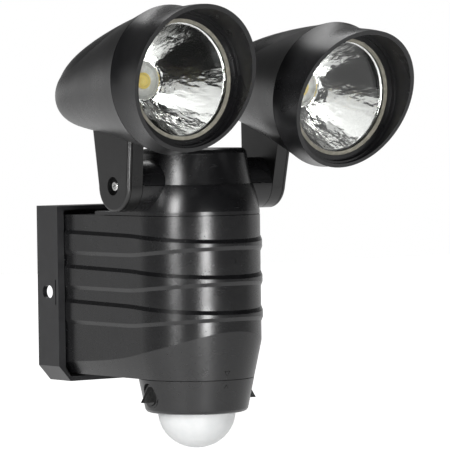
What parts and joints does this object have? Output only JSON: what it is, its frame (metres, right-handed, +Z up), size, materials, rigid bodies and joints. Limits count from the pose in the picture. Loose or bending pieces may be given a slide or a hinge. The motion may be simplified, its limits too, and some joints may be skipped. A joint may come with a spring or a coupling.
{
  "type": "motion sensor security light",
  "caption": "Wall-mounted battery security light: round-fronted body on a wall bracket, tilting hooded lamp heads on side arms above, twist-lock movement sensor below.",
  "frame": {"origin": "centre of the wall bracket's back face, on the wall", "axes": "+Z up, +Y into the wall, the light points along -Y, +X is to the right of someone facing the wall"},
  "size_m": [0.1867, 0.1962, 0.2502],
  "materials": {
    "bracket_plastic": "satin black moulding, fine spark texture on the rims",
    "body_plastic": "black moulding, semi-gloss with a fine grain",
    "inner_plastic": "plain black moulding",
    "knob_plastic": "semi-gloss black",
    "rubber_seal": "matt black rubber",
    "lens_gasket": "pale rubber",
    "dome_plastic": "milky, slightly translucent",
    "lens_plastic": "clear and polished",
    "mirror_coat": "bright metal coat on a moulding",
    "emitter_board_white": "white solder mask",
    "emitter_yellow": "yellow phosphor under a clear drop in a white cup",
    "sink_aluminium": "as cast",
    "screw_steel": "zinc plated",
    "spring_steel": "plain strip",
    "cell_jacket": "printed steel jacket, bare of print",
    "circuit_board": "green solder mask",
    "component_sleeve": "moulded sleeve",
    "sensor_can": "plated can"
  },
  "bodies": {
    "wall_bracket": {"wall_bracket": "bracket_plastic", "spring_clips": "spring_steel", "clip_rivets": "spring_steel"},
    "lamp_body": {"housing": "body_plastic", "battery_door": "inner_plastic", "door_seal": "rubber_seal", "door_screws": "screw_steel", "battery_cells": "cell_jacket", "battery_holder": "inner_plastic", "spring_contacts": "spring_steel", "plate_contacts": "spring_steel", "driver_board": "circuit_board", "driver_capacitor": "component_sleeve", "driver_coil": "component_sleeve", "lower_collar": "body_plastic", "top_cap": "body_plastic", "collar_seal": "rubber_seal", "collar_screws": "screw_steel", "cap_screws": "screw_steel"},
    "sensor_unit": {"sensor_cap": "body_plastic", "sensor_dome": "dome_plastic", "dome_ring": "inner_plastic", "cap_seal": "rubber_seal", "sensor_board": "circuit_board", "heat_sensor": "sensor_can", "light_cell": "component_sleeve", "mode_switch": "component_sleeve", "timer_control": "component_sleeve"},
    "mode_knob": {"mode_knob": "knob_plastic"},
    "timer_knob": {"timer_knob": "knob_plastic"},
    "left_head": {"left_arm_shell": "body_plastic", "left_arm_cover": "body_plastic", "left_pivot_screw": "screw_steel", "left_pivot_washer": "spring_steel", "left_pivot_nut": "screw_steel", "left_pivot_seal": "rubber_seal", "left_head_shell": "body_plastic", "left_arm_screws": "screw_steel", "left_bezel": "body_plastic", "left_lens": "lens_plastic", "left_lens_seal": "lens_gasket", "left_reflector": "mirror_coat", "left_emitter_board": "emitter_board_white", "left_emitter": "emitter_yellow", "left_heat_sink": "sink_aluminium"},
    "right_head": {"right_arm_shell": "body_plastic", "right_arm_cover": "body_plastic", "right_pivot_screw": "screw_steel", "right_pivot_washer": "spring_steel", "right_pivot_nut": "screw_steel", "right_pivot_seal": "rubber_seal", "right_head_shell": "body_plastic", "right_arm_screws": "screw_steel", "right_bezel": "body_plastic", "right_lens": "lens_plastic", "right_lens_seal": "lens_gasket", "right_reflector": "mirror_coat", "right_emitter_board": "emitter_board_white", "right_emitter": "emitter_yellow", "right_heat_sink": "sink_aluminium"}
  },
  "joints": [
    {"name": "lamp_release", "type": "slide", "parent": "wall_bracket", "child": "lamp_body", "axis": [0, -1, 0], "range_m": [0, 0.03]},
    {"name": "sensor_twist", "type": "hinge", "parent": "lamp_body", "child": "sensor_unit", "pos_m": [0, -0.09705, -0.056], "axis": [0, 0, 1], "range_deg": [0, 35]},
    {"name": "mode_turn", "type": "hinge", "parent": "sensor_unit", "child": "mode_knob", "pos_m": [-0.02989, -0.09444, -0.05515], "axis": [-0.9962, 0.0872, 0], "range_deg": [-90, 90]},
    {"name": "timer_turn", "type": "hinge", "parent": "sensor_unit", "child": "timer_knob", "pos_m": [0.02911, -0.10431, -0.05515], "axis": [0.9703, -0.2419, 0], "range_deg": [-135, 135]},
    {"name": "left_tilt", "type": "hinge", "parent": "lamp_body", "child": "left_head", "pos_m": [-0.05215, -0.09655, 0.0634], "axis": [1, 0, 0], "range_deg": [-60, 70]},
    {"name": "right_tilt", "type": "hinge", "parent": "lamp_body", "child": "right_head", "pos_m": [0.05215, -0.09655, 0.0634], "axis": [1, 0, 0], "range_deg": [-68, 61]}
  ]
}
